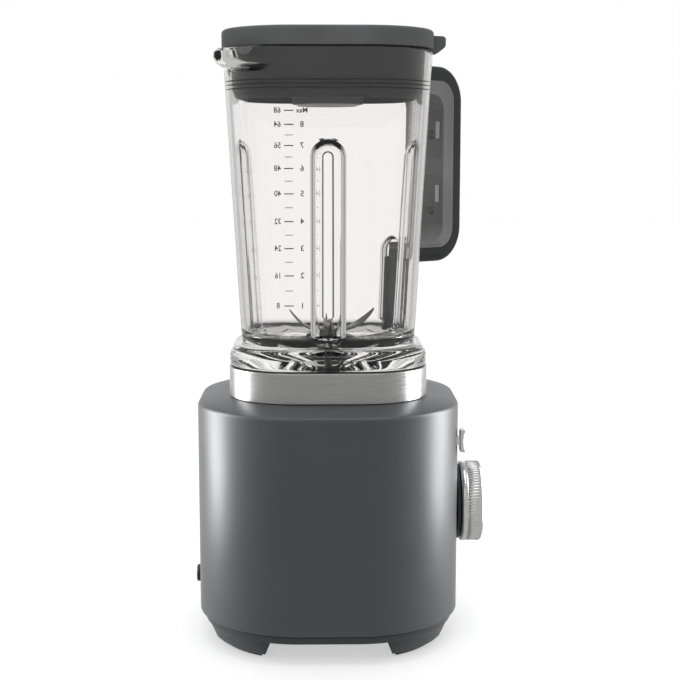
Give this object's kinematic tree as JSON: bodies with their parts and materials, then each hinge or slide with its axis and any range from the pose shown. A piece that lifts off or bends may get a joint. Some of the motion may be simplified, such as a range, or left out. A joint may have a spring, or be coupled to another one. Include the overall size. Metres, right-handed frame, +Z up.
{
  "type": "countertop blender",
  "caption": "Free-standing blender: grey motor base with a dial and two flick switches, silver collar, clear square jug with handle and spout, steel blades, and a dark lid with a centre cap.",
  "frame": {"origin": "middle of the footprint's box, on the surface the blender stands on", "axes": "+Z up; -Y is the front, with the dial; the handle is on the +X -Y corner and the spout on the -X +Y corner"},
  "size_m": [0.1884, 0.2008, 0.4134],
  "materials": {
    "housing_grey": "fine matt",
    "dark_grey": "matt",
    "black_plastic": "matt",
    "black_rubber": "matt",
    "satin_silver": "satin",
    "chrome": "polished",
    "steel": "brushed",
    "cast_aluminium": "as cast",
    "laminated_steel": "stacked plates",
    "copper": "enamelled wire",
    "carbon": "sintered",
    "circuit_green": "solder mask",
    "clear_plastic": "clear"
  },
  "bodies": {
    "base": {"base_housing": "housing_grey", "bottom_cover": "housing_grey", "foot_pad_1": "black_rubber", "foot_pad_2": "black_rubber", "foot_pad_3": "black_rubber", "foot_pad_4": "black_rubber", "bottom_screw_1": "steel", "bottom_screw_2": "steel", "bottom_screw_3": "steel", "bottom_screw_4": "steel", "collar_ring": "satin_silver", "jug_seat": "black_plastic", "seat_pad": "black_rubber", "motor_stator": "laminated_steel", "field_coil_left": "copper", "field_coil_right": "copper", "upper_bracket": "cast_aluminium", "lower_bracket": "cast_aluminium", "upper_bearing": "steel", "lower_bearing": "steel", "carbon_brush_left": "carbon", "carbon_brush_right": "carbon", "motor_cushion": "black_rubber", "dial_bezel": "black_plastic", "rotary_switch": "black_plastic", "control_board": "circuit_green", "start_microswitch": "black_plastic", "pulse_microswitch": "black_plastic", "cord_gland": "black_rubber"},
    "drive": {"motor_armature": "laminated_steel", "motor_shaft": "steel", "cooling_fan": "black_plastic", "drive_coupling": "cast_aluminium"},
    "dial": {"dial_knob": "chrome", "dial_shaft": "steel", "dial_pointer": "black_plastic"},
    "start_paddle": {"start_paddle": "chrome"},
    "pulse_paddle": {"pulse_paddle": "chrome"},
    "jug": {"jug_body": "clear_plastic", "bearing_housing": "steel", "lower_spindle_bearing": "steel", "upper_spindle_bearing": "steel", "shaft_seal": "black_rubber", "retaining_nut": "cast_aluminium", "handle_grip": "dark_grey", "handle_cover": "dark_grey", "handle_screw_1": "steel", "handle_screw_2": "steel", "handle_spine": "dark_grey"},
    "blades": {"lower_blade": "steel", "middle_blade": "steel", "upper_blade": "steel", "blade_nut": "steel", "blade_spindle": "steel", "jug_coupler": "black_plastic"},
    "lid": {"lid_cover": "dark_grey", "lid_plug": "dark_grey", "lid_seal": "black_rubber"},
    "cap": {"ingredient_cap": "dark_grey", "cap_rim": "clear_plastic"}
  },
  "joints": [
    {"name": "motor_spin", "type": "hinge", "parent": "base", "child": "drive", "pos_m": [-0.00522, 0.0072, 0.1], "axis": [0, 0, 1], "continuous": true},
    {"name": "dial_turn", "type": "hinge", "parent": "base", "child": "dial", "pos_m": [-0.00522, -0.0818, 0.0878], "axis": [0, 1, 0], "range_deg": [0, 270]},
    {"name": "start_flick", "type": "hinge", "parent": "base", "child": "start_paddle", "pos_m": [-0.03522, -0.0768, 0.1376], "axis": [1, 0, 0], "range_deg": [-10, 10], "stiffness_Nm_per_rad": 0.05},
    {"name": "pulse_flick", "type": "hinge", "parent": "base", "child": "pulse_paddle", "pos_m": [0.02478, -0.0768, 0.1376], "axis": [1, 0, 0], "range_deg": [-10, 10], "stiffness_Nm_per_rad": 0.05},
    {"name": "jug_lift", "type": "slide", "parent": "base", "child": "jug", "axis": [0, 0, 1], "range_m": [0, 0.04]},
    {"name": "blade_spin", "type": "hinge", "parent": "jug", "child": "blades", "pos_m": [-0.00522, 0.0072, 0.2], "axis": [0, 0, 1], "continuous": true},
    {"name": "lid_lift", "type": "slide", "parent": "jug", "child": "lid", "axis": [0, 0, 1], "range_m": [0, 0.05]},
    {"name": "cap_lift", "type": "slide", "parent": "lid", "child": "cap", "axis": [0, 0, 1], "range_m": [0, 0.06]}
  ],
  "couplings": [
    {"joint": "blade_spin", "follows": "motor_spin", "ratio": 1}
  ]
}
